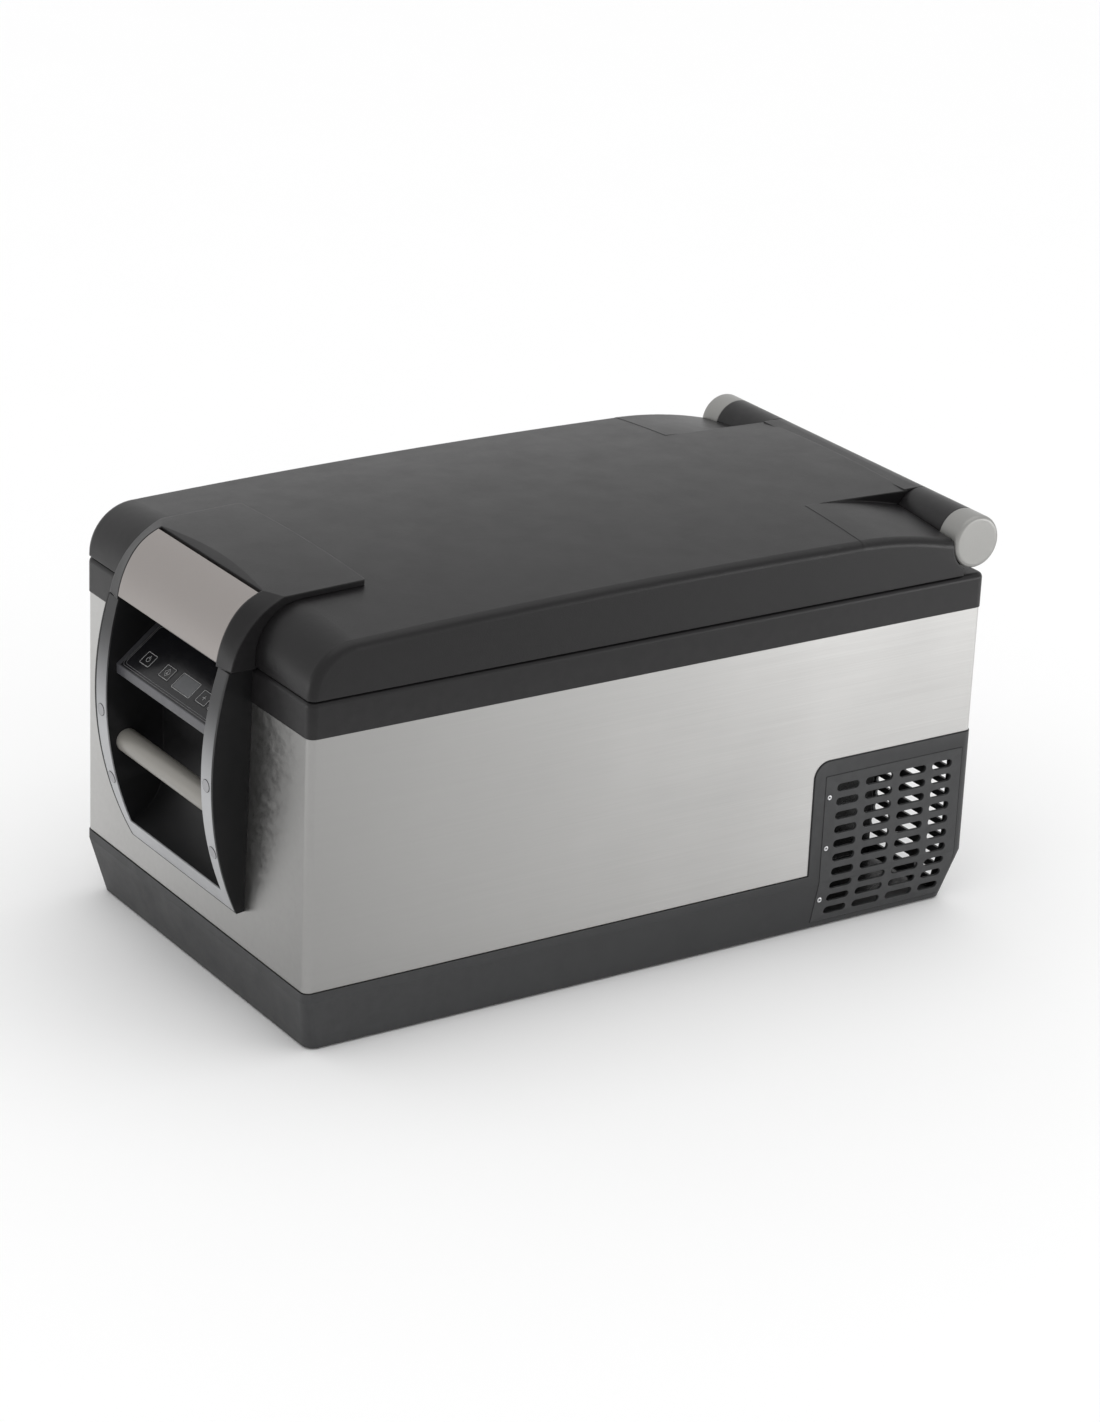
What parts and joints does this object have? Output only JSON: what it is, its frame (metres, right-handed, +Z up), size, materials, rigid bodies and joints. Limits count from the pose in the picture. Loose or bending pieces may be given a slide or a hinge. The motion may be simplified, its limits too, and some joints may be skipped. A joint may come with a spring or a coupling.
{
  "type": "compressor cooler fridge",
  "caption": "Portable chest-style compressor fridge with a hinged lid, pull latch, front carry bar and control panel, steel-wrapped body and slotted vents.",
  "frame": {"origin": "middle of the footprint, on the surface that the feet stand on", "axes": "+Z up, front with the latch and controls towards -Y, hinge towards +Y"},
  "size_m": [0.4732, 0.8869, 0.4576],
  "materials": {
    "base_plastic": "fine-grained mid grey moulding",
    "dark_plastic": "black moulding",
    "brushed_steel": "brushed stainless sheet",
    "lid_plastic": "textured charcoal moulding",
    "liner_plastic": "smooth pale grey moulding",
    "foam": "rigid insulation foam",
    "seal_rubber": "soft black rubber",
    "bright_steel": "bright zinc-plated steel",
    "console_plastic": "near-black moulding",
    "trim_silver": "satin silver-grey trim",
    "trim_grey": "grey plug",
    "bar_cream": "satin warm-grey tube",
    "panel_grey": "dark grey moulding",
    "fascia_gloss": "gloss black overlay",
    "display_glass": "smoked display window",
    "board_green": "circuit board",
    "lever_satin": "satin warm-silver metal",
    "cap_satin": "satin silver-grey cap",
    "black_paint": "black enamel",
    "bare_aluminium": "bare aluminium",
    "copper_pipe": "copper pipe",
    "basket_wire": "white-coated wire",
    "light_lens": "frosted lens"
  },
  "bodies": {
    "cabinet": {"ac_inlet": "dark_plastic", "base_tub": "base_plastic", "basket_main": "basket_wire", "basket_rear": "basket_wire", "bay_partition": "bright_steel", "carry_bar": "bar_cream", "compressor": "black_paint", "compressor_mounts": "seal_rubber", "condenser_core": "bare_aluminium", "console_frame": "console_plastic", "console_trim": "trim_silver", "control_board": "board_green", "control_fascia": "fascia_gloss", "control_housing": "panel_grey", "cover_pin": "bright_steel", "dc_socket": "dark_plastic", "display_window": "display_glass", "drain_spout": "dark_plastic", "evaporator_wrap": "bare_aluminium", "fan_motor": "bright_steel", "fan_shroud": "dark_plastic", "feet": "seal_rubber", "filter_drier": "copper_pipe", "grille_screws": "bright_steel", "hinge_cap_left": "cap_satin", "hinge_cap_right": "cap_satin", "hinge_knuckle_left": "lid_plastic", "hinge_knuckle_right": "lid_plastic", "hinge_pins": "bright_steel", "inner_liner": "liner_plastic", "insulation_foam": "foam", "interior_light": "light_lens", "latch_keeper": "bright_steel", "mounting_tray": "black_paint", "power_module": "bare_aluminium", "rear_grip": "console_plastic", "refrigerant_lines": "copper_pipe", "socket_panel": "base_plastic", "steel_wrap": "brushed_steel", "top_rim": "lid_plastic", "trim_plugs": "trim_grey", "vent_grille_left": "base_plastic", "vent_grille_rear": "base_plastic", "vent_grille_right": "base_plastic"},
    "lid": {"lid_shell": "lid_plastic", "lid_inner_panel": "liner_plastic", "lid_foam": "foam", "lid_gasket": "seal_rubber", "latch_housing": "lid_plastic", "latch_pin": "bright_steel", "latch_spring": "bright_steel"},
    "lever": {"latch_lever": "lever_satin", "latch_tongue": "bright_steel"},
    "fan": {"fan_rotor": "dark_plastic"},
    "power_button": {"button_power": "fascia_gloss"},
    "source_button": {"button_source": "fascia_gloss"},
    "up_button": {"button_up": "fascia_gloss"},
    "down_button": {"button_down": "fascia_gloss"},
    "socket_flap": {"socket_cover": "dark_plastic"},
    "drain": {"drain_plug": "seal_rubber"}
  },
  "joints": [
    {"name": "lid_hinge", "type": "hinge", "parent": "cabinet", "child": "lid", "pos_m": [0, 0.4142, 0.418], "axis": [-1, 0, 0], "range_deg": [0, 95]},
    {"name": "latch_pull", "type": "hinge", "parent": "lid", "child": "lever", "pos_m": [0, -0.3824, 0.444], "axis": [-1, 0, 0], "range_deg": [0, 35], "stiffness_Nm_per_rad": 0.07, "springref_deg": -17.19},
    {"name": "fan_spin", "type": "hinge", "parent": "cabinet", "child": "fan", "pos_m": [-0.146, 0.3174, 0.098], "axis": [1, 0, 0], "continuous": true},
    {"name": "socket_flap_hinge", "type": "hinge", "parent": "cabinet", "child": "socket_flap", "pos_m": [-0.122, 0.4322, 0.159], "axis": [1, 0, 0], "range_deg": [0, 100]},
    {"name": "drain_plug_pull", "type": "slide", "parent": "cabinet", "child": "drain", "axis": [0, 0, 1], "range_m": [0, 0.008]},
    {"name": "power_press", "type": "slide", "parent": "cabinet", "child": "power_button", "axis": [0, 0.6157, -0.788], "range_m": [0, 0.0012], "stiffness_N_per_m": 130, "springref_m": -0.0006},
    {"name": "source_press", "type": "slide", "parent": "cabinet", "child": "source_button", "axis": [0, 0.6157, -0.788], "range_m": [0, 0.0012], "stiffness_N_per_m": 130, "springref_m": -0.0006},
    {"name": "up_press", "type": "slide", "parent": "cabinet", "child": "up_button", "axis": [0, 0.6157, -0.788], "range_m": [0, 0.0012], "stiffness_N_per_m": 130, "springref_m": -0.0006},
    {"name": "down_press", "type": "slide", "parent": "cabinet", "child": "down_button", "axis": [0, 0.6157, -0.788], "range_m": [0, 0.0012], "stiffness_N_per_m": 130, "springref_m": -0.0006}
  ]
}
